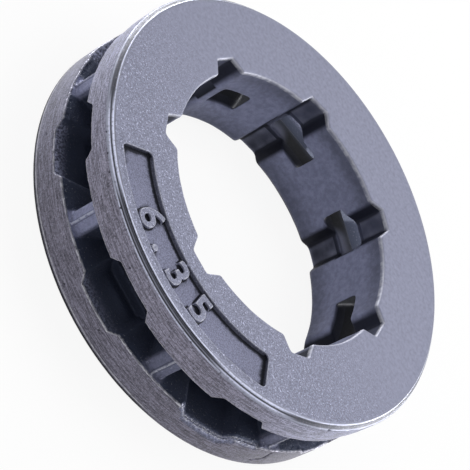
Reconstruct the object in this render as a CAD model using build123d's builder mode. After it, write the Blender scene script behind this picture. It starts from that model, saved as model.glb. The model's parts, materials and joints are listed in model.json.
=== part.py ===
import os
from math import cos, hypot, radians, sin, sqrt

from build123d import *

# Rim sprocket of a chainsaw: one steel casting, laid flat on its back face.
# Origin at the middle of the back face, +Z along the bore, the marked face up, millimetres.

# Ring
outer_d = 31.5            # turned diameter over the two flanges
front_flange = 2.45       # thickness at the rim, on the marked side
back_flange = 2.7         # thickness at the rim, on the plain side
rim_chamfer = 0.37        # turned break on the marked face's outer edge
back_chamfer = 0.1        # filed break on the plain face's outer edge
bore_chamfer = 0.14       # tumbled break on both edges of the bore
lead_in = 0.6             # countersink on the plain face, which leads the lands onto the hub

# Splines of the bore
spline_count = 7
spline_phase = -90.0      # angle of the notch below the marking pocket
spline_root_d = 21.8      # across the notch floors
spline_depth = 1.025      # from the lands of the bore to the notch floors
spline_mouth = 2.75       # notch width where it opens into the bore
spline_floor = 1.6        # notch width at its floor
spline_round = 0.2        # cast corners of the notches

# Drive-link pockets between the flanges
pocket_count = 9
pocket_phase = -93.0      # angle of the pocket nearest to the marking pocket
groove_width = 2.4        # between the flanges at the rim
window_height = 1.85      # along the axis, where a pocket breaks into the bore
window_width = 2.5        # around the bore
bar_width = 1.6           # tooth bar between two pockets, at its shoulders
bar_drop = 0.3            # ridge of a bar below the rim
shoulder_drop = 0.6       # shoulders of a bar below the rim
bar_round = 0.25          # cast corners of the bars
flank_hollow = 0.3        # how far the tooth flanks are hollowed out of straight

# Relief slots that widen the groove over the middle of each pocket
relief_length = 3.35      # around the rim, along the floor of the slot
relief_width = 3.65       # along the axis
relief_slope = 0.55       # run of the slanted ends around the rim
relief_depth = 3.2        # below the rim
relief_round = 0.2

# Pocket for a raised size mark on the upper face
mark_span = 74.0          # degrees
mark_rim = 1.1            # from the rim to the pocket
mark_height = 2.45        # along the radius
mark_depth = 0.35
mark_round = 0.35

# Worked out from the sizes above
outer_r = outer_d / 2
spline_root_r = spline_root_d / 2
bore_r = spline_root_r - spline_depth
width = back_flange + groove_width + front_flange
middle = back_flange + groove_width / 2
clear = 1.0               # by which a cut passes through a surface
half_pitch = 180 / pocket_count
mark_outer_r = outer_r - mark_rim
mark_inner_r = mark_outer_r - mark_height


def beside_bar(height, offset):
    """Point in a pocket's plan, measured up and across from the middle line of its bar."""
    a = radians(half_pitch)
    return (height * cos(a) + offset * sin(a), height * sin(a) - offset * cos(a))


def bulged(start, end, hollow):
    """Middle point of an arc that stands to the left of the chord from start to end."""
    dx = end[0] - start[0]
    dy = end[1] - start[1]
    chord = hypot(dx, dy)
    return ((start[0] + end[0]) / 2 - dy / chord * hollow, (start[1] + end[1]) / 2 + dx / chord * hollow)


# One drive-link pocket: half of the bar's roof, the hollow flank and the window in the bore
shoulder = beside_bar(outer_r - shoulder_drop, bar_width / 2)
roof_fall = 2 * (shoulder_drop - bar_drop) / bar_width
past_ridge = beside_bar(outer_r - bar_drop + roof_fall * bar_drop, -bar_drop)
past_rim = (outer_r + clear, past_ridge[1])
window_side = (sqrt(bore_r**2 - (window_width / 2) ** 2), window_width / 2)
inside_bore = (bore_r - clear, window_width / 2)

with BuildPart() as pocket:
    with BuildSketch(Plane.XY.offset(middle)) as pocket_plan:
        with BuildLine() as pocket_half:
            Polyline((outer_r + clear, 0), past_rim, past_ridge, shoulder)
            ThreePointArc(shoulder, bulged(window_side, shoulder, flank_hollow), window_side)
            Polyline(window_side, inside_bore, (bore_r - clear, 0))
            mirror(about=Plane.XZ)
        make_face()
        shoulder_distance = hypot(*shoulder)
        fillet(
            [v for v in pocket_plan.vertices() if abs(hypot(v.X, v.Y) - shoulder_distance) < 0.001],
            bar_round,
        )
    extrude(amount=groove_width, both=True)
    with BuildSketch(Plane.XZ) as groove_section:
        with BuildLine():
            Polyline(
                (bore_r - 2 * clear, middle - window_height / 2),
                (spline_root_r, middle - window_height / 2),
                (outer_r, middle - groove_width / 2),
                (outer_r + 2 * clear, middle - groove_width / 2),
                (outer_r + 2 * clear, middle + groove_width / 2),
                (outer_r, middle + groove_width / 2),
                (spline_root_r, middle + window_height / 2),
                (bore_r - 2 * clear, middle + window_height / 2),
                close=True,
            )
        make_face()
    revolve(axis=Axis.Z, mode=Mode.INTERSECT)
    rim_plane = Plane(origin=(outer_r + clear, 0, middle), x_dir=(0, 1, 0), z_dir=(-1, 0, 0))
    with BuildSketch(rim_plane) as relief_plan:
        with BuildLine():
            Polyline(
                (relief_length / 2, relief_width / 2),
                (relief_length / 2 + relief_slope, groove_width / 2),
                (relief_length / 2 + relief_slope, -groove_width / 2),
                (relief_length / 2, -relief_width / 2),
                (-relief_length / 2, -relief_width / 2),
                (-relief_length / 2 - relief_slope, -groove_width / 2),
                (-relief_length / 2 - relief_slope, groove_width / 2),
                (-relief_length / 2, relief_width / 2),
                close=True,
            )
        make_face()
        fillet(relief_plan.vertices(), relief_round)
    extrude(amount=relief_depth + clear)

# One notch of the splined bore, along +X
notch_mouth = (sqrt(bore_r**2 - (spline_mouth / 2) ** 2), spline_mouth / 2)
notch_corners = [
    (bore_r - clear, -spline_mouth / 2),
    (notch_mouth[0], -notch_mouth[1]),
    (spline_root_r, -spline_floor / 2),
    (spline_root_r, spline_floor / 2),
    notch_mouth,
    (bore_r - clear, spline_mouth / 2),
]

with BuildPart() as rim_sprocket:
    # Ring with its splined bore
    with BuildSketch() as ring_plan:
        Circle(outer_r)
        with PolarLocations(0, 1, start_angle=spline_phase):
            Circle(bore_r, mode=Mode.SUBTRACT)
        with PolarLocations(0, spline_count, start_angle=spline_phase):
            Polygon(*notch_corners, align=None, mode=Mode.SUBTRACT)
        fillet([v for v in ring_plan.vertices() if hypot(v.X, v.Y) < outer_r - clear], spline_round)
    extrude(amount=width)
    for side, rim_break in ((0, back_chamfer), (-1, rim_chamfer)):
        chamfer(rim_sprocket.faces().sort_by(Axis.Z)[side].outer_wire().edges(), rim_break)
        chamfer(rim_sprocket.faces().sort_by(Axis.Z)[side].inner_wires()[0].edges(), bore_chamfer)
    Cone(
        bore_r + lead_in,
        bore_r,
        lead_in,
        align=(Align.CENTER, Align.CENTER, Align.MIN),
        mode=Mode.SUBTRACT,
    )

    # Chain groove with its pockets
    with PolarLocations(0, pocket_count, start_angle=pocket_phase):
        add(pocket.part, mode=Mode.SUBTRACT)

    # Shallow pocket for a size mark
    with BuildSketch(Plane.XY.offset(width)) as mark_plan:
        with BuildLine():
            CenterArc((0, 0), mark_outer_r, spline_phase - mark_span / 2, mark_span)
            CenterArc((0, 0), mark_inner_r, spline_phase - mark_span / 2, mark_span)
            for end in (-mark_span / 2, mark_span / 2):
                PolarLine(
                    Vector(mark_inner_r, 0).rotate(Axis.Z, spline_phase + end), mark_height, spline_phase + end
                )
        make_face()
        fillet(mark_plan.vertices(), mark_round)
    extrude(amount=-mark_depth, mode=Mode.SUBTRACT)

rim_sprocket.part.label = "rim_sprocket"
os.makedirs("parts", exist_ok=True)
export_step(rim_sprocket.part, "parts/rim_sprocket.step")
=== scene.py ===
import json
import math

import bmesh
import bpy
import numpy as np
from mathutils import Matrix, Quaternion, Vector


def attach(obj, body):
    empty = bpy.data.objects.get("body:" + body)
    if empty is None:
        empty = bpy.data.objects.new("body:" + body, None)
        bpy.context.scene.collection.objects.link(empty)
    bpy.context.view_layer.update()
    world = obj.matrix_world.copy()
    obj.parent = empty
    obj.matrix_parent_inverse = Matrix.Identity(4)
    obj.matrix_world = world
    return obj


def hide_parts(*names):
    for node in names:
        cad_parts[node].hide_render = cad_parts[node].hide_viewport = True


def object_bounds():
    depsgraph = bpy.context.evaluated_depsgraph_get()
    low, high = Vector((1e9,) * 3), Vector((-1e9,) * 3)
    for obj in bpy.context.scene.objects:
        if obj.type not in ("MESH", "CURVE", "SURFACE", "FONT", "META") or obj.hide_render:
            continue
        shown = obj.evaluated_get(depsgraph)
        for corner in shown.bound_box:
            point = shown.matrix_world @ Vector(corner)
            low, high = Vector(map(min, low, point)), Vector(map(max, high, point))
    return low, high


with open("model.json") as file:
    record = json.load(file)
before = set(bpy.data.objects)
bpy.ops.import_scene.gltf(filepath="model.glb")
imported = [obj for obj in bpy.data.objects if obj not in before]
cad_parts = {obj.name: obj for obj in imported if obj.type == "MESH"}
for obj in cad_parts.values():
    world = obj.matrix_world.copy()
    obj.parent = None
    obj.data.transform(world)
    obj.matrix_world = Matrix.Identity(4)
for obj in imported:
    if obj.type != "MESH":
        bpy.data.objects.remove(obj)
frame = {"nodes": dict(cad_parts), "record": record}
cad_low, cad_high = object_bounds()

# Rim sprocket: the casting's skin and finish, its raised figures, the floor, the light and the camera.
# Sizes are in millimetres and angles in degrees, in the part's own frame, unless a name says otherwise.

MM = 0.001

# The part's own sizes, read from the frame
mounts = {mount["name"]: mount for mount in frame["record"]["mounts"]}
RIM_R = cad_high.x / MM
WIDTH = cad_high.z / MM
BORE_R = mounts["spline_bore"]["dims"]["r_mm"]
GROOVE_Z = mounts["chain_groove"]["pos_m"][2] / MM

# Turned and cast features that the finish follows
RIM_BREAK = 0.37          # turned break between the rim and the marked face
POCKETS = 9
POCKET_ANGLE = -93.0      # middle of one drive-link pocket
GROOVE_WIDTH = 2.4
RELIEF_WIDTH = 3.65       # widest gap between the flanges
RELIEF_LENGTH = 3.35
RELIEF_SLOPE = 0.55
RIDGE_R = RIM_R - 0.3     # ridge of a tooth bar
SPLINES = 7
SPLINE_ANGLE = -90.0
SPLINE_ROOT_R = 10.9
SPLINE_MOUTH = 2.75
SPLINE_FLOOR = 1.6
MARK_ANGLE = -90.0        # middle of the mark pocket
MARK_SPAN = 74.0
MARK_OUTER_R = 14.65
MARK_INNER_R = 12.2
MARK_DEPTH = 0.35

# Raised figures in the mark pocket
MARK_TEXT = "6.35"
MARK_PLACES = (-107.0, -99.0, -90.5, -79.5)
FIGURE_FOOT_R = 14.42
FIGURE_HEIGHT = 2.05
FIGURE_BOLD = 0.06
FIGURE_CAP_SHARE = 0.69   # height of a figure in the font, for a size of 1
FIGURE_RISE = 0.85        # share of the pocket's depth that a figure fills

# Flaws of the casting: burrs as (angle from, angle to, radius, height), pits as (angle, radius, height)
BURRS = (
    (-63.5, -62.3, RIM_R - 0.06, 2.66),
    (-82.0, -80.8, RIM_R - 0.08, 2.66),
    (-73.6, -72.4, RIM_R - 0.14, 2.64),
)
HIGHLIT_BURR = (-63.4, -62.6)  # stretch of the first burr that has a painted highlight
PITS = (
    (-66.0, RIM_R - 0.05, WIDTH - 0.4),
    (-76.0, RIM_R - 0.03, WIDTH - 0.42),
    (-105.0, RIM_R - 0.03, WIDTH - 0.45),
    (-110.0, RIM_R - 0.05, WIDTH - 0.38),
    (-119.0, RIM_R - 0.02, WIDTH - 0.5),
    (-123.5, RIM_R - 0.03, WIDTH - 0.44),
    (-129.0, RIM_R - 0.05, WIDTH - 0.4),
    (-97.0, RIM_R, WIDTH - 1.4),
    (-57.0, RIM_R, WIDTH - 1.1),
    (-139.0, RIM_R, 1.2),
    (-88.0, RIM_R, 1.5),
    (-101.0, RIM_R, 0.7),
    (-30.0, RIM_R - 0.05, WIDTH - 0.4),
    (12.0, RIM_R - 0.03, WIDTH - 0.44),
    (64.0, RIM_R - 0.05, WIDTH - 0.4),
    (118.0, RIM_R - 0.02, WIDTH - 0.5),
    (160.0, RIM_R, 1.4),
    (85.0, RIM_R, WIDTH - 1.3),
)

# Stretches where the back flange's cast edge broke out: (angle from, angle to, reach down the rim at each)
CHIPS = ((-62.5, -43.5, 0.4, 0.8), (-45.0, -36.5, 0.3, 0.4))

# Crack in the back flange, as (angle, height) points along it
CRACK = ((-33.1, 0.85), (-31.1, 1.14), (-30.4, 1.5), (-30.9, 2.03), (-31.4, 2.4))

# Skin of the casting
VOXEL = 0.055
SOFTEN_REACH = 0.085      # spread of the softening on cast faces
BORE_SOFTEN_REACH = 0.17  # more of it inside the bore
SOFTEN_SHARE = 0.5
MOST_TRIANGLES = 190000
JOIN_DISTANCE = 0.0005    # corners of the loose triangles that are closer become one
FRAY_REACH = 0.17         # to either side of a groove edge
FRONT_FRAY = 0.4          # share of the fray that the marked side's flange has
CHIP_END = 0.8            # degrees over which a broken-out stretch runs out
CRACK_STEPS = 40
ARC_STEPS = 12
SKIN = {
    "Wave Length": 1.4,
    "Wave Height": 0.05,
    "Pit Radius": 0.1,
    "Pit Depth": 0.11,
    "Fray Depth": 0.045,
    "Chip Depth": 0.24,
}

# Beads of flash along the core seams and the burrs
SEAM_BEADS = {"Spacing": 0.05, "Shake": 0.02, "Smallest": 0.04, "Largest": 0.08, "Seed": 3}
BURR_BEADS = {"Spacing": 0.07, "Shake": 0.03, "Smallest": 0.07, "Largest": 0.12, "Seed": 11}
SEAM_OVERLAP = 0.05       # by which a core seam runs into the flanges
SEAM_SINK = 0.01          # by which it lies below the bar's ridge

# Camera, fitted to the photograph's outline
CAMERA_TARGET = (0.024, -1.786, 3.889)
CAMERA_DISTANCE = 120.4
CAMERA_AZIMUTH = -92.97
CAMERA_ELEVATION = 37.17
CAMERA_ROLL = 61.91
CAMERA_LENS = 136.4
CAMERA_SENSOR = 36

# Studio, in metres: lamps as (name, place, width and height, power in watts), and the floor
LAMPS = (
    ("key_box", (0.06, 0.16, 0.3), (0.2, 0.2), 0.5),
    ("left_box", (-0.245, 0.206, 0.035), (0.2, 0.06), 1.0),
    ("right_box", (0.262, 0.184, 0.035), (0.2, 0.06), 0.9),
)
FILL_STRENGTH = 0.45
FLOOR_HALF = 2.0
FLOOR_GLOW = 0.9          # share of plain white in the floor as the camera sees it


def add_object(name, data):
    """A new object at the origin, in the scene."""
    made = bpy.data.objects.new(name, data)
    bpy.context.scene.collection.objects.link(made)
    return made


def baked_mesh(source):
    """The plain mesh that an object's modifiers or curve give."""
    bpy.context.view_layer.update()
    depsgraph = bpy.context.evaluated_depsgraph_get()
    return bpy.data.meshes.new_from_object(source.evaluated_get(depsgraph))


def polar(radius, angle, z):
    """Point at a radius, an angle and a height."""
    a = math.radians(angle)
    return Vector((radius * math.cos(a), radius * math.sin(a), z))


class Nodes:
    """Adds nodes to a tree: an input that is a socket is linked, and any other is set."""

    def __init__(self, tree):
        self.tree = tree

    def feed(self, socket, value):
        if isinstance(value, bpy.types.NodeSocket):
            self.tree.links.new(value, socket)
        else:
            socket.default_value = value

    def add(self, kind, inputs=(), **settings):
        made = self.tree.nodes.new(kind)
        for name, value in settings.items():
            setattr(made, name, value)
        for name, value in dict(inputs).items():
            self.feed(made.inputs[name], value)
        return made

    def math(self, operation, *values):
        return self.add("ShaderNodeMath", enumerate(values), operation=operation).outputs[0]

    def ramp(self, value, start, end, low=0.0, high=1.0, shape="SMOOTHSTEP"):
        """low before start, high after end, and between them on the way."""
        inputs = {"Value": value, "From Min": start, "From Max": end, "To Min": low, "To Max": high}
        return self.add("ShaderNodeMapRange", inputs, interpolation_type=shape).outputs["Result"]

    def band(self, value, start, end, soft):
        """1 between start and end, 0 outside them, with soft ends."""
        rise = self.ramp(value, start - soft, start + soft)
        return self.math("MULTIPLY", rise, self.ramp(value, end + soft, end - soft))

    def both(self, *shares):
        """Product of several shares."""
        product = shares[0]
        for share in shares[1:]:
            product = self.math("MULTIPLY", product, share)
        return product

    def noise(self, vector, scale, detail=2.0, roughness=0.5):
        inputs = {"Vector": vector, "Scale": scale, "Detail": detail, "Roughness": roughness}
        return self.add("ShaderNodeTexNoise", inputs).outputs[0]

    def stops(self, value, start, end, shades, tint):
        """A tint that grows lighter and darker along a value, through shades given as (value, lightness)."""
        made = self.add("ShaderNodeValToRGB", {"Fac": self.ramp(value, start, end, shape="LINEAR")})
        elements = made.color_ramp.elements
        while len(elements) < len(shades):
            elements.new(1.0)
        for element, (stop, lightness) in zip(elements, shades):
            element.position = (stop - start) / (end - start)
            element.color = (*[lightness * c for c in tint], 1)
        return made.outputs["Color"]

    def mix(self, share, first, second, way="MIX"):
        """A colour between two, or the first changed by the second in another way."""
        made = self.add("ShaderNodeMix", data_type="RGBA", blend_type=way)
        # Sockets 0, 6 and 7 are the share and the two colours
        for i, value in zip((0, 6, 7), (share, first, second)):
            self.feed(made.inputs[i], value)
        return made.outputs[2]

    def blend(self, share, first, second):
        """A number between two."""
        return self.add("ShaderNodeMix", {0: share, 2: first, 3: second}).outputs[0]


def node_tree(name, inputs):
    """An empty Geometry Nodes tree with named inputs, and its group input's sockets by name."""
    tree = bpy.data.node_groups.new(name, "GeometryNodeTree")
    tree.interface.new_socket("Geometry", in_out="INPUT", socket_type="NodeSocketGeometry")
    for label, kind in inputs:
        tree.interface.new_socket(label, in_out="INPUT", socket_type="NodeSocket" + kind)
    tree.interface.new_socket("Geometry", in_out="OUTPUT", socket_type="NodeSocketGeometry")
    n = Nodes(tree)
    return n, n.add("NodeGroupInput").outputs


def close_tree(n, geometry, material):
    """Ends a tree in a plain mesh with its material."""
    real = n.add("GeometryNodeRealizeInstances", {"Geometry": geometry}).outputs["Geometry"]
    finished = n.add("GeometryNodeSetMaterial", {"Geometry": real, "Material": material}).outputs["Geometry"]
    n.add("NodeGroupOutput", {"Geometry": finished})
    return n.tree


def grown(name, base, tree, settings):
    """The plain mesh that a tree makes from a base mesh."""
    carrier = add_object(name, base)
    modifier = carrier.modifiers.new(name, "NODES")
    modifier.node_group = tree
    for item in tree.interface.items_tree:
        if item.in_out == "INPUT" and item.name in settings:
            modifier[item.identifier] = settings[item.name]
    mesh = baked_mesh(carrier)
    bpy.data.objects.remove(carrier)
    return mesh


def bead_tree():
    """Beads of flash that follow the lines of a mesh, each shaken a little off its line."""
    n, given = node_tree(
        "flash_beads",
        (
            ("Spacing", "Float"),
            ("Shake", "Float"),
            ("Smallest", "Float"),
            ("Largest", "Float"),
            ("Seed", "Int"),
            ("Material", "Material"),
        ),
    )
    lines = n.add("GeometryNodeMeshToCurve", {"Mesh": given["Geometry"]}).outputs["Curve"]
    evened = n.add("GeometryNodeResampleCurve", {"Curve": lines, "Length": given["Spacing"]}, mode="LENGTH")
    points = n.add("GeometryNodeCurveToPoints", {"Curve": evened.outputs["Curve"]}, mode="EVALUATED")
    back = n.math("MULTIPLY", given["Shake"], -1.0)
    least = n.add("ShaderNodeCombineXYZ", {"X": back, "Y": back, "Z": back}).outputs["Vector"]
    most = n.add("ShaderNodeCombineXYZ", {axis: given["Shake"] for axis in "XYZ"}).outputs["Vector"]
    shake = n.add(
        "FunctionNodeRandomValue",
        {0: least, 1: most, "Seed": given["Seed"]},
        data_type="FLOAT_VECTOR",
    )
    moved = {"Geometry": points.outputs["Points"], "Offset": shake.outputs[0]}
    shaken = n.add("GeometryNodeSetPosition", moved).outputs["Geometry"]
    size = n.add(
        "FunctionNodeRandomValue",
        {2: given["Smallest"], 3: given["Largest"], "Seed": n.math("ADD", given["Seed"], 1.0)},
        data_type="FLOAT",
    )
    bead = n.add("GeometryNodeMeshIcoSphere", {"Radius": 1.0, "Subdivisions": 2}).outputs["Mesh"]
    placed = n.add(
        "GeometryNodeInstanceOnPoints",
        {"Points": shaken, "Instance": bead, "Scale": size.outputs[1]},
    ).outputs["Instances"]
    return close_tree(n, placed, given["Material"])


def skin_tree():
    """Cast skin: slow waves on the cast faces, ragged and broken-out edges, and pits at given points."""
    n, given = node_tree(
        "cast_skin",
        (
            ("Wave Length", "Float"),
            ("Wave Height", "Float"),
            ("Pits", "Object"),
            ("Pit Radius", "Float"),
            ("Pit Depth", "Float"),
            ("Fray Depth", "Float"),
            ("Chip Depth", "Float"),
            ("Material", "Material"),
        ),
    )
    place = n.add("GeometryNodeInputPosition").outputs[0]
    normal = n.add("GeometryNodeInputNormal").outputs[0]
    cast, ragged, chip = [
        n.add("GeometryNodeInputNamedAttribute", {"Name": name}, data_type="FLOAT").outputs[0]
        for name in ("cast", "ragged", "chip")
    ]
    wave = n.noise(place, n.math("DIVIDE", 1.0, given["Wave Length"]))
    rise = n.both(n.math("SUBTRACT", wave, 0.9), given["Wave Height"], cast)
    pits = n.add("GeometryNodeObjectInfo", {"Object": given["Pits"]}).outputs["Geometry"]
    near = n.add("GeometryNodeProximity", {"Geometry": pits}, target_element="POINTS").outputs["Distance"]
    uneven = n.math("MULTIPLY", given["Pit Radius"], n.ramp(n.noise(place, 6.0), 0.3, 0.7, 0.5, 1.4))
    pit = n.ramp(n.math("DIVIDE", near, uneven), 1.0, 0.3)
    frayed = n.both(ragged, n.ramp(n.noise(place, 2.4, 3.0, 0.6), 0.42, 0.66), given["Fray Depth"])
    chipped = n.both(chip, n.ramp(n.noise(place, 4.0, 3.0, 0.6), 0.3, 0.7, 0.5, 1.2), given["Chip Depth"])
    sunk = n.math("ADD", n.math("ADD", n.both(pit, given["Pit Depth"]), frayed), chipped)
    lift = n.math("SUBTRACT", rise, sunk)
    offset = n.add("ShaderNodeVectorMath", {0: normal, "Scale": lift}, operation="SCALE").outputs["Vector"]
    kept = n.add(
        "GeometryNodeStoreNamedAttribute",
        {"Geometry": given["Geometry"], "Name": "pit", "Value": pit},
        data_type="FLOAT",
    ).outputs["Geometry"]
    moved = n.add("GeometryNodeSetPosition", {"Geometry": kept, "Offset": offset}).outputs["Geometry"]
    return close_tree(n, moved, given["Material"])


def line_mesh(name, lines):
    """A mesh of open lines, each given by its points."""
    points = [point for line in lines for point in line]
    edges = []
    first = 0
    for line in lines:
        edges += [(first + i, first + i + 1) for i in range(len(line) - 1)]
        first += len(line)
    mesh = bpy.data.meshes.new(name)
    mesh.from_pydata(points, edges, [])
    return mesh


def arc(start, end, radius, z):
    """Points along an arc about the bore's axis."""
    return [polar(radius, start + (end - start) * i / ARC_STEPS, z) for i in range(ARC_STEPS + 1)]


def flash_meshes(material):
    """The core seam on each tooth bar's ridge, and the burrs on the back flange."""
    tree = bead_tree()
    half = GROOVE_WIDTH / 2 + SEAM_OVERLAP
    ridges = []
    for i in range(POCKETS):
        angle = POCKET_ANGLE + (i + 0.5) * 360 / POCKETS
        ridges.append([polar(RIDGE_R - SEAM_SINK, angle, GROOVE_Z + side * half) for side in (-1, 1)])
    kinds = (
        ("core_seams", ridges, SEAM_BEADS),
        ("burrs", [arc(*burr) for burr in BURRS], BURR_BEADS),
    )
    return [
        grown(name, line_mesh(name, lines), tree, {**beads, "Material": material})
        for name, lines, beads in kinds
    ]


def merged_casting():
    """Mesh of the casting as it was modelled, with its loose triangles joined."""
    mesh = frame["nodes"]["rim_sprocket"].data.copy()
    mesh.transform(Matrix.Scale(1 / MM, 4))
    bm = bmesh.new()
    bm.from_mesh(mesh)
    bmesh.ops.remove_doubles(bm, verts=bm.verts, dist=JOIN_DISTANCE)
    bm.to_mesh(mesh)
    bm.free()
    return mesh


def mark_figure(figure, angle):
    """One raised figure of the size mark, its foot towards the rim."""
    curve = bpy.data.curves.new("mark_figure", "FONT")
    curve.body = figure
    curve.size = FIGURE_HEIGHT / FIGURE_CAP_SHARE
    curve.align_x = "CENTER"
    curve.offset = FIGURE_BOLD
    curve.extrude = FIGURE_RISE * MARK_DEPTH
    curve.resolution_u = 8
    drawn = add_object("mark_figure", curve)
    mesh = baked_mesh(drawn)
    bpy.data.objects.remove(drawn)
    turn = Matrix.Rotation(math.radians(angle + 90), 4, "Z")
    mesh.transform(Matrix.Translation(polar(FIGURE_FOOT_R, angle, WIDTH - MARK_DEPTH)) @ turn)
    return mesh


def joined(meshes):
    """One mesh that holds several."""
    bm = bmesh.new()
    for mesh in meshes:
        bm.from_mesh(mesh)
    bmesh.ops.recalc_face_normals(bm, faces=bm.faces)
    mesh = bpy.data.meshes.new("casting")
    bm.to_mesh(mesh)
    bm.free()
    return mesh


def points_of(mesh):
    """The places of a mesh's vertices, as an array."""
    co = np.empty(len(mesh.vertices) * 3, np.float32)
    mesh.vertices.foreach_get("co", co)
    return co.reshape(-1, 3).astype(float)


def ramp(value, start, end):
    """0 before start, 1 after end, smooth between them."""
    t = np.clip((value - start) / (end - start), 0, 1)
    return t * t * (3 - 2 * t)


def cast_share(points):
    """How far each point lies on a cast face: little on the turned rim and in the mark pocket."""
    radius = np.hypot(points[:, 0], points[:, 1])
    turn = np.degrees(np.arctan2(points[:, 1], points[:, 0])) - MARK_ANGLE
    turned = ramp(radius, RIM_R - 0.9, RIM_R - 0.6)
    marked = (points[:, 2] > WIDTH - 2 * MARK_DEPTH) & (np.abs(turn) < MARK_SPAN / 2 + 2)
    marked &= (radius > MARK_INNER_R - 0.3) & (radius < MARK_OUTER_R + 0.2)
    return np.clip(1 - 0.85 * turned - 0.75 * marked, 0.1, 1)


def bore_share(points):
    """How far each point lies inside the bore, below its upper edge."""
    radius = np.hypot(points[:, 0], points[:, 1])
    inside = ramp(radius, SPLINE_ROOT_R + 0.6, SPLINE_ROOT_R + 0.3)
    return inside * ramp(points[:, 2], WIDTH - 0.3, WIDTH - 0.7)


def past_groove(points):
    """How far each point lies beyond the edge of the groove and its reliefs, along the axis."""
    angle = np.degrees(np.arctan2(points[:, 1], points[:, 0]))
    pitch = 360 / POCKETS
    from_pocket = (angle - POCKET_ANGLE + pitch / 2) % pitch - pitch / 2
    around = np.abs(np.radians(from_pocket)) * RIM_R
    ends = (RELIEF_LENGTH / 2, RELIEF_LENGTH / 2 + RELIEF_SLOPE)
    gap = np.interp(around, ends, (RELIEF_WIDTH / 2, GROOVE_WIDTH / 2))
    return np.abs(points[:, 2] - GROOVE_Z) - gap


def ragged_share(points):
    """How far each point lies on a cast edge of the groove."""
    radius = np.hypot(points[:, 0], points[:, 1])
    near = np.exp(-((past_groove(points) / FRAY_REACH) ** 2)) * ramp(radius, RIM_R - 0.7, RIM_R - 0.25)
    return near * np.where(points[:, 2] < GROOVE_Z, 1.0, FRONT_FRAY)


def chip_share(points):
    """How deep each point lies in a broken-out stretch of the back flange's edge."""
    radius = np.hypot(points[:, 0], points[:, 1])
    angle = np.degrees(np.arctan2(points[:, 1], points[:, 0]))
    past = past_groove(points)
    share = np.zeros(len(points))
    for start, end, first, last in CHIPS:
        reach = np.interp(angle, (start, end), (first, last))
        within = ramp(angle, start, start + CHIP_END) * ramp(angle, end, end - CHIP_END)
        share = np.maximum(share, within * np.clip(1 - past / reach, 0, 1))
    at_edge = ramp(radius, RIM_R - 0.5, RIM_R - 0.2) * ramp(past, -0.3, -0.1)
    return share * at_edge * (points[:, 2] < GROOVE_Z)


def softened(points, edges, reach, share):
    """Points moved towards the middle of their neighbours, as far as the reach asks."""
    ends = np.concatenate([edges, edges[:, ::-1]])
    count = np.bincount(ends[:, 0], minlength=len(points))
    for _ in range(round(4 * (reach / VOXEL) ** 2)):
        middle = np.stack(
            [np.bincount(ends[:, 0], points[ends[:, 1], i], len(points)) / count for i in range(3)], axis=1
        )
        points = points + share * (middle - points)
    return points


def set_point_attribute(mesh, name, values):
    """A number kept on each vertex of a mesh."""
    mesh.attributes.new(name, "FLOAT", "POINT").data.foreach_set("value", values.astype(np.float32))


def cast_piece(material):
    """The casting with its softened edges, flash, pits and figures, as one even mesh."""
    marks = [mark_figure(figure, angle) for figure, angle in zip(MARK_TEXT, MARK_PLACES)]
    blank = add_object("blank", joined([merged_casting(), *marks, *flash_meshes(material)]))
    remesh = blank.modifiers.new("even_skin", "REMESH")
    remesh.mode = "VOXEL"
    remesh.voxel_size = VOXEL
    mesh = baked_mesh(blank)
    bpy.data.objects.remove(blank)
    sharp = points_of(mesh)
    edges = np.empty(len(mesh.edges) * 2, np.int32)
    mesh.edges.foreach_get("vertices", edges)
    edges = edges.reshape(-1, 2)
    cast = cast_share(sharp)
    soft = softened(sharp, edges, SOFTEN_REACH, SOFTEN_SHARE * cast[:, None])
    soft = softened(soft, edges, BORE_SOFTEN_REACH, SOFTEN_SHARE * bore_share(soft)[:, None])
    mesh.vertices.foreach_set("co", soft.astype(np.float32).ravel())
    mesh.update()
    # How far each point stands out from its surroundings, for the edges lightened by wear and painted
    # highlights, and for the painted shade in hollows
    normals = np.empty(len(mesh.vertices) * 3, np.float32)
    mesh.vertices.foreach_get("normal", normals)
    smooth = softened(soft, edges, SOFTEN_REACH, SOFTEN_SHARE)
    edge = ((soft - smooth) * normals.reshape(-1, 3)).sum(axis=1)
    set_point_attribute(mesh, "edge", edge)
    set_point_attribute(mesh, "cast", cast)
    set_point_attribute(mesh, "ragged", ragged_share(soft))
    set_point_attribute(mesh, "chip", chip_share(soft))
    steps = np.linspace(0, len(CRACK) - 1, CRACK_STEPS)
    crack_angles, crack_heights = [np.interp(steps, range(len(CRACK)), values) for values in zip(*CRACK)]
    holes = [*PITS, *[(angle, RIM_R, z) for angle, z in zip(crack_angles, crack_heights)]]
    pits = add_object("pits", line_mesh("pits", [[polar(radius, angle, z)] for angle, radius, z in holes]))
    settings = {**SKIN, "Pits": pits, "Material": material}
    piece = add_object("sprocket_casting", grown("cast_skin", mesh, skin_tree(), settings))
    bpy.data.objects.remove(pits)
    # The even skin is all quads, so each face is two triangles
    thin = piece.modifiers.new("thin", "DECIMATE")
    thin.ratio = MOST_TRIANGLES / (2 * len(piece.data.polygons))
    final = baked_mesh(piece)
    piece.modifiers.clear()
    final.transform(Matrix.Scale(MM, 4))
    final.polygons.foreach_set("use_smooth", np.ones(len(final.polygons), bool))
    piece.data = final
    return piece


# Colours of the steel, by how it was worked, and of the painted light and shade on it
TUMBLED = (0.245, 0.255, 0.34)
MARKED = (0.205, 0.213, 0.3)
TURNED = (0.215, 0.207, 0.27)
TURNED_SIDE_LIT = (0.345, 0.354, 0.486)
BREAK_TINT = (0.87, 0.91, 1.16)
BAR = (0.165, 0.174, 0.26)
CAST_GREY = (0.23, 0.243, 0.35)
POCKET_SHADE = (0.05, 0.06, 0.1)
BORE = (0.232, 0.248, 0.368)
NOTCH_SHADE = (0.042, 0.047, 0.08)
BRIGHT = (0.68, 0.69, 0.75)
# Near black, for painted shade and for the bars' darker grain
GRIME_AND_SHADE = (0.014, 0.015, 0.022)

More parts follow.
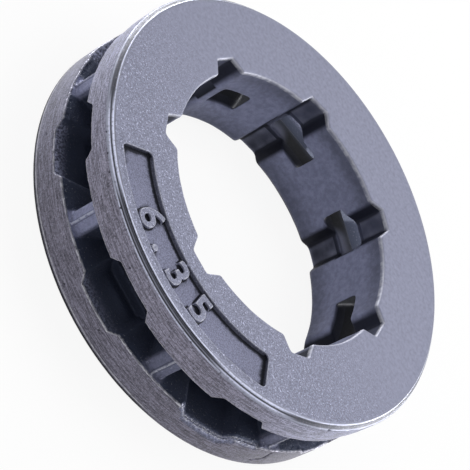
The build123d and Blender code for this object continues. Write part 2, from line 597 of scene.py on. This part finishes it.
# Gloss and relief of the steel
METALLIC = 0.4
SPECULAR = 0.12
CAST_ROUGHNESS = (0.5, 0.65)
TURNED_ROUGHNESS = (0.3, 0.45)
BUMP_STRENGTH = 0.8
BUMP_HEIGHT = 0.05

# Degrees from the mark's middle over which the rim grows lighter as painted light, and over which it evens
# out again
SIDE_SPAN = (22.0, 76.0)
FAR_SPAN = (82.0, 112.0)

# Lightness across the turned break, by the distance in from the rim: turning lines with painted reflections
# that change along the rim, scored and glinting beside the mark, glinting brightly further along the rim and
# plain on the rest
BREAK_SCORED_GLINT = (
    (0.0, 0.35),
    (0.025, 0.5),
    (0.045, 0.85),
    (0.06, 0.3),
    (0.08, 0.08),
    (0.105, 0.0),
    (0.125, 0.1),
    (0.15, 0.28),
    (0.17, 0.18),
    (0.2, 0.06),
    (0.225, 0.06),
    (0.25, 0.12),
    (0.275, 0.0),
    (0.3, 0.04),
    (0.325, 0.3),
    (0.345, 0.85),
    (0.37, 0.9),
    (0.395, 0.35),
    (0.43, 0.17),
    (0.46, 0.16),
    (0.5, 0.19),
)
BREAK_GLINT = (
    (0.0, 0.3),
    (0.04, 0.36),
    (0.08, 0.4),
    (0.115, 0.6),
    (0.145, 0.9),
    (0.17, 0.6),
    (0.195, 0.1),
    (0.22, 0.02),
    (0.245, 0.2),
    (0.275, 0.6),
    (0.305, 0.85),
    (0.335, 1.0),
    (0.36, 0.6),
    (0.385, 0.3),
    (0.42, 0.15),
    (0.46, 0.18),
    (0.5, 0.24),
)
BREAK_PLAIN = (
    (0.0, 0.26),
    (0.03, 0.27),
    (0.06, 0.3),
    (0.08, 0.28),
    (0.11, 0.14),
    (0.14, 0.07),
    (0.2, 0.07),
    (0.25, 0.05),
    (0.29, 0.06),
    (0.315, 0.18),
    (0.34, 0.58),
    (0.365, 0.6),
    (0.39, 0.4),
    (0.43, 0.25),
    (0.5, 0.26),
)
BREAK_REACH = 0.5

# Degrees from the mark's middle over which the scored stretch turns to the glinting one, and the glinting
# one plain
SCORED_END = (19.0, 28.0)
BRIGHT_END = (40.0, 51.0)


def shade(colour, factor=1.0):
    """A colour with its alpha, made lighter or darker."""
    return (*[factor * c for c in colour], 1)


def steel_material():
    """Tumbled cast steel: a turned rim, a grey bore, painted shade in the pockets and notches, and edges
    lightened by wear and painted highlights.
    """
    material = bpy.data.materials.new("tumbled_cast_steel")
    material.use_nodes = True
    n = Nodes(material.node_tree)
    shader = material.node_tree.nodes["Principled BSDF"]

    # Place on the casting, in millimetres and degrees
    place = n.add("ShaderNodeTexCoord").outputs["Object"]
    place = n.add("ShaderNodeMapping", {"Vector": place, "Scale": (1 / MM,) * 3}).outputs["Vector"]
    xyz = n.add("ShaderNodeSeparateXYZ", {"Vector": place}).outputs
    radius = n.math("SQRT", n.math("ADD", n.math("POWER", xyz["X"], 2.0), n.math("POWER", xyz["Y"], 2.0)))
    height = xyz["Z"]
    angle = n.math("DEGREES", n.math("ARCTAN2", xyz["Y"], xyz["X"]))
    edge, chip, pit = [
        n.add("ShaderNodeAttribute", attribute_name=name).outputs["Fac"] for name in ("edge", "chip", "pit")
    ]

    # Grain of the cast skin and lines of the turning
    grain = n.noise(place, 6.0, 4.0, 0.65)
    grit = n.noise(place, 10.0, 2.0, 0.6)
    speck = n.noise(place, 8.0, 1.0)
    blotch = n.noise(place, 2.6, 3.0)
    slow = n.math("SUBTRACT", n.noise(place, 2.2, 2.0), 0.5)
    drawn_out = n.add("ShaderNodeMapping", {"Vector": place, "Scale": (0.8, 0.8, 13.0)}).outputs["Vector"]
    lines = n.noise(drawn_out, 1.0, 4.0, 0.7)

    # Where the pockets and the bars are, measured around the rim
    half_pitch = 180 / POCKETS
    rim_arc = math.radians(1) * RIM_R
    from_pocket = n.math("WRAP", n.math("SUBTRACT", angle, POCKET_ANGLE), half_pitch, -half_pitch)
    around = n.math("MULTIPLY", n.math("ABSOLUTE", from_pocket), rim_arc)
    from_ridge = n.math("SUBTRACT", half_pitch * rim_arc, around)
    gap = n.ramp(
        around,
        RELIEF_LENGTH / 2,
        RELIEF_LENGTH / 2 + RELIEF_SLOPE,
        RELIEF_WIDTH / 2,
        GROOVE_WIDTH / 2,
        "LINEAR",
    )
    from_middle = n.math("ABSOLUTE", n.math("SUBTRACT", height, GROOVE_Z))
    past_gap = n.math("SUBTRACT", from_middle, gap)

    # Where the bore's outline is, measured across it
    half_spline = 180 / SPLINES
    from_notch = n.math("WRAP", n.math("SUBTRACT", angle, SPLINE_ANGLE), half_spline, -half_spline)
    from_notch = n.math("RADIANS", from_notch)
    along = n.math("MULTIPLY", radius, n.math("COSINE", from_notch))
    across = n.math("ABSOLUTE", n.math("MULTIPLY", radius, n.math("SINE", from_notch)))
    mouth = Vector((math.sqrt(BORE_R**2 - (SPLINE_MOUTH / 2) ** 2), SPLINE_MOUTH / 2))
    flank = (Vector((SPLINE_ROOT_R, SPLINE_FLOOR / 2)) - mouth).normalized()
    past_flank = n.math(
        "ADD",
        n.math("MULTIPLY", n.math("SUBTRACT", along, mouth.x), -flank.y),
        n.math("MULTIPLY", n.math("SUBTRACT", across, mouth.y), flank.x),
    )
    past_notch = n.math("MAXIMUM", past_flank, n.math("SUBTRACT", along, SPLINE_ROOT_R))
    past_bore = n.math("MINIMUM", n.math("SUBTRACT", radius, BORE_R), past_notch)

    # Zones
    on_rim = n.ramp(radius, RIM_R - 0.14, RIM_R - 0.06)
    past_break = n.math("SUBTRACT", n.math("ADD", radius, height), RIM_R + WIDTH - RIM_BREAK)
    on_break = n.both(n.ramp(past_break, -0.2, -0.12), n.ramp(height, WIDTH - 0.43, WIDTH - 0.38))
    turned = n.math("MAXIMUM", on_rim, on_break)
    in_relief = n.ramp(from_middle, RELIEF_WIDTH / 2 + 0.15, RELIEF_WIDTH / 2 + 0.05)
    inside_rim = n.ramp(radius, RIM_R - 0.1, RIM_R - 0.2)
    deep = n.ramp(radius, RIM_R - 0.15, RIM_R - 1.4)
    outside_bore = n.ramp(radius, SPLINE_ROOT_R + 0.02, SPLINE_ROOT_R + 0.12)
    in_pocket = n.both(in_relief, inside_rim, outside_bore)
    on_bar = n.both(n.ramp(from_ridge, 1.1, 0.75), n.ramp(radius, RIM_R - 1.1, RIM_R - 0.8), in_pocket)
    below_face = n.ramp(height, WIDTH - 0.1, WIDTH - 0.3)
    in_bore = n.both(n.ramp(radius, SPLINE_ROOT_R + 0.1, SPLINE_ROOT_R), below_face)
    at_window = n.both(
        n.ramp(radius, SPLINE_ROOT_R + 0.6, SPLINE_ROOT_R + 0.4),
        n.ramp(from_middle, 1.5, 1.3),
    )
    in_bore = n.math("MAXIMUM", in_bore, at_window)
    in_notch = n.both(n.ramp(radius, BORE_R + 0.1, BORE_R + 0.45), in_bore)
    from_mark = n.math("ABSOLUTE", n.math("SUBTRACT", angle, MARK_ANGLE))
    in_mark = n.both(
        n.band(radius, MARK_INNER_R, MARK_OUTER_R, 0.04),
        n.ramp(from_mark, MARK_SPAN / 2 + 0.2, MARK_SPAN / 2 - 0.1),
        n.band(height, WIDTH - 2 * MARK_DEPTH, WIDTH - 0.1, 0.04),
    )
    to_end = n.math("MULTIPLY", n.math("SUBTRACT", MARK_SPAN / 2, from_mark), math.radians(1) * MARK_INNER_R)
    to_wall = n.math("MINIMUM", n.math("SUBTRACT", radius, MARK_INNER_R), to_end)
    to_wall = n.math("ADD", to_wall, n.math("MULTIPLY", n.math("SUBTRACT", grain, 0.5), 0.3))
    to_wall = n.math("ADD", to_wall, n.math("MULTIPLY", slow, 0.25))
    # Painted shade on the mark pocket's inner and end walls
    mark_wall_shade = n.both(n.ramp(to_wall, 0.32, 0.16), in_mark)
    chipped = n.both(n.ramp(chip, 0.06, 0.2), n.ramp(radius, RIM_R - 0.42, RIM_R - 0.3))
    # Share towards +X, for painted light and shade that changes across the part
    to_right = n.ramp(xyz["X"], -8.0, 5.0)

    # Lightness of the turned break: its lines and its painted reflections
    unsteady = n.math("MULTIPLY", n.math("SUBTRACT", grain, 0.5), 0.03)
    inset = n.math("ADD", n.math("SUBTRACT", RIM_R, radius), unsteady)
    off_mark = n.math("ABSOLUTE", n.math("SUBTRACT", angle, MARK_ANGLE - 1.0))
    scored, bright, plain = [
        n.stops(inset, 0.0, BREAK_REACH, shades, BREAK_TINT)
        for shades in (BREAK_SCORED_GLINT, BREAK_GLINT, BREAK_PLAIN)
    ]
    break_colour = n.mix(n.ramp(off_mark, *SCORED_END), scored, bright)
    break_colour = n.mix(n.ramp(off_mark, *BRIGHT_END), break_colour, plain)
    break_colour = n.mix(n.ramp(grain, 0.47, 0.35, 0.0, 0.5), break_colour, shade(TURNED, 0.6))
    break_share = n.both(on_break, n.ramp(inset, BREAK_REACH, BREAK_REACH - 0.05))

    # Edges lightened by wear and by painted highlights, and painted shade in hollows and on walls turned
    # from the light
    rough = n.math("MULTIPLY", n.math("SUBTRACT", grain, 0.5), 0.09)
    groove_edge = n.both(
        n.band(n.math("ADD", past_gap, rough), 0.0, 0.06, 0.03),
        n.ramp(radius, RIM_R - 0.22, RIM_R - 0.12),
        n.ramp(slow, -0.08, 0.12, 0.3, 1.0),
        n.ramp(off_mark, 30.0, 50.0, 1.0, 0.35),
    )
    bore_edge = n.both(
        n.band(n.math("ADD", past_bore, n.math("MULTIPLY", slow, 0.1)), 0.0, 0.1, 0.04),
        n.ramp(height, WIDTH - 0.4, WIDTH - 0.3),
        n.ramp(slow, -0.1, 0.1, 0.5, 1.0),
    )
    # Painted highlight and painted shade along the back edge, kept to the -X side
    lined = n.ramp(xyz["X"], 8.5, 5.0)
    back_edge = n.both(n.band(height, 0.33, 0.41, 0.03), on_rim, n.ramp(slow, -0.1, 0.1, 0.5, 1.0), lined)
    # Painted shade under the back edge
    under_edge_shade = n.both(n.ramp(height, 0.3, 0.21), n.ramp(radius, RIM_R - 0.3, RIM_R - 0.15), lined)
    by_bore = n.both(n.ramp(radius, SPLINE_ROOT_R + 0.7, SPLINE_ROOT_R + 0.5), below_face)
    by_break = n.both(n.ramp(inset, 0.75, 0.6), n.ramp(height, WIDTH - 0.6, WIDTH - 0.5))
    ridge_line = n.both(n.ramp(from_ridge, 0.09, 0.04), on_bar, n.ramp(grain, 0.4, 0.5))
    # Edges that stand out get lighter: partly wear, partly painted highlight
    worn_and_highlit = n.ramp(n.math("ADD", edge, n.math("MULTIPLY", rough, 0.25)), 0.012, 0.03)
    for other in (in_pocket, by_bore, by_break, under_edge_shade):
        worn_and_highlit = n.both(worn_and_highlit, n.math("SUBTRACT", 1.0, other))
    worn_and_highlit = n.math("MULTIPLY", worn_and_highlit, 0.4)
    # Painted highlight along a stretch of the first burr
    burr_highlight = n.both(n.band(angle, *HIGHLIT_BURR, 0.2), n.band(past_gap, -0.7, 0.08, 0.05), on_rim)
    broken_line = n.band(n.math("ADD", past_gap, rough), 0.05, 0.24, 0.08)
    broken_line = n.both(chipped, broken_line, n.ramp(grit, 0.46, 0.58))
    pocket_glints = n.both(in_pocket, n.ramp(speck, 0.66, 0.73), n.ramp(radius, RIM_R - 2.2, RIM_R - 0.8))
    # Painted highlights: bright lines along the groove, bore, back and broken-out edges, on the bars' ridges
    # and on a burr, and painted glints in the pockets
    lights = (
        (groove_edge, 0.8),
        (bore_edge, 0.5),
        (back_edge, 0.8),
        (ridge_line, 0.4),
        (burr_highlight, 0.8),
        (broken_line, 0.7),
        (pocket_glints, 0.2),
    )
    for line, share in lights:
        worn_and_highlit = n.math("MAXIMUM", worn_and_highlit, n.math("MULTIPLY", line, share))
    # Painted shade in hollows, strongest in the mark pocket
    painted_shade = n.math("MULTIPLY", n.ramp(edge, -0.006, -0.03), 0.7)
    painted_shade = n.math("MAXIMUM", painted_shade, n.both(n.ramp(edge, -0.002, -0.01), in_mark))
    beside_ridge_shade = n.both(n.band(from_ridge, 0.11, 0.17, 0.03), on_bar)
    # Painted shade on the mark pocket's walls, under the back edge, beside each bar's ridge and in the pits
    darks = ((mark_wall_shade, 0.95), (under_edge_shade, 1.0), (beside_ridge_shade, 0.5), (pit, 0.85))
    for line, share in darks:
        painted_shade = n.math("MAXIMUM", painted_shade, n.math("MULTIPLY", line, share))

    # Colour
    near_side = n.ramp(xyz["Y"], 3.0, -11.0)
    fine = n.math("ADD", n.math("MULTIPLY", grit, 0.7), n.math("MULTIPLY", grain, 0.3))
    coarse = n.blend(near_side, n.blend(0.12, 0.5, n.noise(place, 3.6, 2.0)), fine)
    # Painted light: the face lighter towards +Y, where the key lamp stands
    light = n.mix(near_side, shade(TUMBLED, 1.22), shade(TUMBLED, 1.08))
    tumbled = n.mix(n.ramp(coarse, 0.4, 0.6), shade(TUMBLED, 0.68), light)
    # Painted glints on the face, towards -Y
    painted_glints = n.both(n.ramp(speck, 0.59, 0.68), near_side, n.ramp(grit, 0.45, 0.6))
    tumbled = n.mix(painted_glints, tumbled, shade(TUMBLED, 2.2))
    mark_floor = n.mix(n.ramp(coarse, 0.38, 0.62), shade(MARKED, 0.75), shade(MARKED, 1.25))
    tumbled = n.mix(in_mark, tumbled, mark_floor)
    on_back = n.ramp(height, GROOVE_Z, GROOVE_Z - 0.5)
    # Painted light: the rim lighter towards its sides, on the back flange towards -X only
    side_light = n.ramp(off_mark, *SIDE_SPAN)
    side_light = n.math("MULTIPLY", side_light, n.blend(on_back, 1.0, n.blend(to_right, 0.6, 0.0)))
    far_side = n.ramp(off_mark, *FAR_SPAN)
    side_light = n.blend(far_side, side_light, 0.45)
    turned_colour = n.mix(side_light, shade(TURNED), shade(TURNED_SIDE_LIT))
    # Turning lines and grain, with painted glints, and with painted shade on the back flange that fades out
    # away from the mark
    turning_glints_and_shade = n.blend(n.ramp(lines, 0.42, 0.58), 0.62, 1.38)
    turning_glints_and_shade = n.math("MULTIPLY", turning_glints_and_shade, n.ramp(grain, 0.38, 0.52, 0.6, 1.0))
    turning_glints_and_shade = n.math("ADD", turning_glints_and_shade, n.ramp(grit, 0.54, 0.66, 0.0, 0.55))
    turning_glints_and_shade = n.math("MULTIPLY", turning_glints_and_shade, n.blend(on_back, 1.0, n.blend(far_side, 0.8, 1.0)))
    turning_glints_and_shade = n.add("ShaderNodeCombineColor", {0: turning_glints_and_shade, 1: turning_glints_and_shade, 2: turning_glints_and_shade}).outputs["Color"]
    turned_colour = n.mix(1.0, turned_colour, turning_glints_and_shade, "MULTIPLY")
    bore_colour = n.mix(n.ramp(blotch, 0.3, 0.7), shade(BORE, 0.84), shade(BORE, 1.12))
    bore_colour = n.mix(n.ramp(grit, 0.5, 0.3, 0.0, 0.6), bore_colour, shade(BORE, 0.8))
    # Painted shade: the bore darker towards its bottom and towards the marked face
    bore_colour = n.mix(n.ramp(height, 3.0, 0.6, 0.0, 0.45), bore_colour, shade(GRIME_AND_SHADE))
    bore_colour = n.mix(n.ramp(height, WIDTH - 2.0, WIDTH - 0.5, 0.0, 0.45), bore_colour, shade(GRIME_AND_SHADE))
    # Painted shade in the notches: darker further down and on their flanks
    notch_colour = n.mix(n.ramp(height, 4.2, 2.4), shade(NOTCH_SHADE), shade(NOTCH_SHADE, 0.45))
    on_flank = n.ramp(n.math("ABSOLUTE", past_flank), 0.3, 0.1, 0.0, 0.6)
    notch_colour = n.mix(on_flank, notch_colour, shade(GRIME_AND_SHADE))
    bore_colour = n.mix(in_notch, bore_colour, notch_colour)
    # Painted light and shade in the windows and pockets: lighter by a notch, where light comes through, dark
    # elsewhere
    by_notch = n.ramp(across, 1.5, 0.4)
    in_window = n.both(n.ramp(from_middle, 1.02, 0.86), n.ramp(radius, BORE_R + 0.05, BORE_R + 0.16))
    window_colour = n.mix(by_notch, shade(POCKET_SHADE, 0.15), shade(BORE, 0.6))
    bore_colour = n.mix(in_window, bore_colour, window_colour)
    # Painted shade: the pockets darker further in
    pocket = n.mix(n.ramp(radius, 13.0, 11.9), shade(POCKET_SHADE), shade(POCKET_SHADE, 0.15))
    lit_behind_notch = n.both(by_notch, n.ramp(radius, 12.6, 11.2))
    pocket = n.mix(lit_behind_notch, pocket, shade(BORE, 0.7))
    in_slot = n.ramp(around, RELIEF_LENGTH / 2 + 0.6, RELIEF_LENGTH / 2 + 0.1)
    # The slots' rough grey skin, faded out deeper in and towards +X as painted shade
    greyed = n.both(n.math("SUBTRACT", 1.0, deep), in_slot, n.blend(to_right, 1.0, 0.1))
    slot_skin = n.mix(n.ramp(grain, 0.4, 0.6), shade(CAST_GREY, 0.4), shade(CAST_GREY, 1.6))
    pocket = n.mix(greyed, pocket, slot_skin)
    # Painted light: the bars lighter towards -X
    bar_colour = n.mix(to_right, shade(BAR, 1.85), shade(BAR, 1.0))
    bar_colour = n.mix(n.ramp(grain, 0.65, 0.35, 0.0, 0.3), bar_colour, shade(GRIME_AND_SHADE))
    pocket = n.mix(on_bar, pocket, bar_colour)
    colour = n.mix(in_bore, tumbled, bore_colour)
    colour = n.mix(on_rim, colour, turned_colour)
    colour = n.mix(break_share, colour, break_colour)
    colour = n.mix(in_pocket, colour, pocket)
    broken = n.math("ADD", chip, n.math("MULTIPLY", n.math("SUBTRACT", grain, 0.5), 2.5))
    chip_colour = n.mix(n.ramp(broken, 0.0, 1.0), shade(CAST_GREY, 0.5), shade(CAST_GREY, 1.3))
    colour = n.mix(chipped, colour, chip_colour)
    # Painted shade
    colour = n.mix(painted_shade, colour, shade(GRIME_AND_SHADE))
    # Wear and painted highlights on the edges
    colour = n.mix(worn_and_highlit, colour, shade(BRIGHT))
    material.node_tree.links.new(colour, shader.inputs["Base Color"])

    # Gloss and relief
    cast_roughness = n.ramp(grain, 0.2, 0.8, *CAST_ROUGHNESS)
    turned_roughness = n.ramp(lines, 0.3, 0.7, *TURNED_ROUGHNESS)
    roughness = n.blend(turned, cast_roughness, turned_roughness)
    material.node_tree.links.new(roughness, shader.inputs["Roughness"])
    skin = n.math("ADD", coarse, n.both(n.ramp(speck, 0.55, 0.75), near_side, 0.5))
    turning = n.math("ADD", n.math("MULTIPLY", lines, 0.45), n.math("MULTIPLY", grain, 0.35))
    relief = n.blend(turned, skin, turning)
    raised = {"Height": relief, "Strength": BUMP_STRENGTH, "Distance": BUMP_HEIGHT * MM}
    bump = n.add("ShaderNodeBump", raised)
    material.node_tree.links.new(bump.outputs["Normal"], shader.inputs["Normal"])
    shader.inputs["Metallic"].default_value = METALLIC
    shader.inputs["Specular IOR Level"].default_value = SPECULAR
    return material


def background_share(n):
    """1 for the rays that show the white studio: straight from the camera, mirrored or through glass."""
    path = n.add("ShaderNodeLightPath").outputs
    seen = n.math("MAXIMUM", path["Is Camera Ray"], path["Is Glossy Ray"])
    return n.math("MAXIMUM", seen, path["Is Transmission Ray"])


def add_floor():
    """A plain white floor that the part lies on."""
    mesh = bpy.data.meshes.new("floor")
    corners = [(x * FLOOR_HALF, y * FLOOR_HALF, 0) for x, y in ((-1, -1), (1, -1), (1, 1), (-1, 1))]
    mesh.from_pydata(corners, [], [(0, 1, 2, 3)])
    floor = add_object("floor", mesh)
    material = bpy.data.materials.new("white_floor")
    material.use_nodes = True
    n = Nodes(material.node_tree)
    shader = material.node_tree.nodes["Principled BSDF"]
    shader.inputs["Base Color"].default_value = (0.95, 0.95, 0.95, 1)
    shader.inputs["Roughness"].default_value = 0.9
    shader.inputs["Specular IOR Level"].default_value = 0.0
    glow = n.add("ShaderNodeEmission", {"Color": (1, 1, 1, 1), "Strength": 1.0}).outputs[0]
    share = n.math("MULTIPLY", background_share(n), FLOOR_GLOW)
    both = n.add("ShaderNodeMixShader", {0: share, 1: shader.outputs[0], 2: glow}).outputs[0]
    material.node_tree.links.new(both, material.node_tree.nodes["Material Output"].inputs["Surface"])
    mesh.materials.append(material)


def add_world(strength):
    """Even studio light, white where the camera or a mirror sees it."""
    world = bpy.data.worlds.new("studio")
    world.use_nodes = True
    n = Nodes(world.node_tree)
    fill = world.node_tree.nodes["Background"]
    fill.inputs["Color"].default_value = (1, 1, 1, 1)
    fill.inputs["Strength"].default_value = strength
    white = n.add("ShaderNodeBackground", {"Color": (1, 1, 1, 1), "Strength": 1.0}).outputs[0]
    both = n.add("ShaderNodeMixShader", {0: background_share(n), 1: fill.outputs[0], 2: white}).outputs[0]
    world.node_tree.links.new(both, world.node_tree.nodes["World Output"].inputs["Surface"])
    bpy.context.scene.world = world


def add_lamp(name, place, size, power):
    """A soft box, so wide and so high, that points at the part."""
    light = bpy.data.lights.new(name, "AREA")
    light.shape = "RECTANGLE"
    light.size, light.size_y = size
    light.energy = power
    lamp = add_object(name, light)
    lamp.location = place
    lamp.rotation_mode = "QUATERNION"
    lamp.rotation_quaternion = (-Vector(place)).to_track_quat("-Z", "Y")


def add_camera():
    """The camera at the photograph's viewpoint, turned about its own axis as the photograph was."""
    camera = add_object("camera", bpy.data.cameras.new("camera"))
    a, e = math.radians(CAMERA_AZIMUTH), math.radians(CAMERA_ELEVATION)
    back = Vector((math.cos(a) * math.cos(e), math.sin(a) * math.cos(e), math.sin(e)))
    camera.location = (Vector(CAMERA_TARGET) + back * CAMERA_DISTANCE) * MM
    camera.rotation_mode = "QUATERNION"
    roll = Quaternion((0, 0, 1), math.radians(CAMERA_ROLL))
    camera.rotation_quaternion = (-back).to_track_quat("-Z", "Y") @ roll
    camera.data.lens = CAMERA_LENS
    camera.data.sensor_width = CAMERA_SENSOR
    camera.data.clip_start = 0.005
    camera.data.clip_end = 10
    bpy.context.scene.camera = camera


casting = cast_piece(steel_material())
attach(casting, "root")
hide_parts("rim_sprocket")

add_floor()
add_world(FILL_STRENGTH)
for lamp in LAMPS:
    add_lamp(*lamp)
add_camera()
bpy.context.scene.view_settings.view_transform = "Standard"
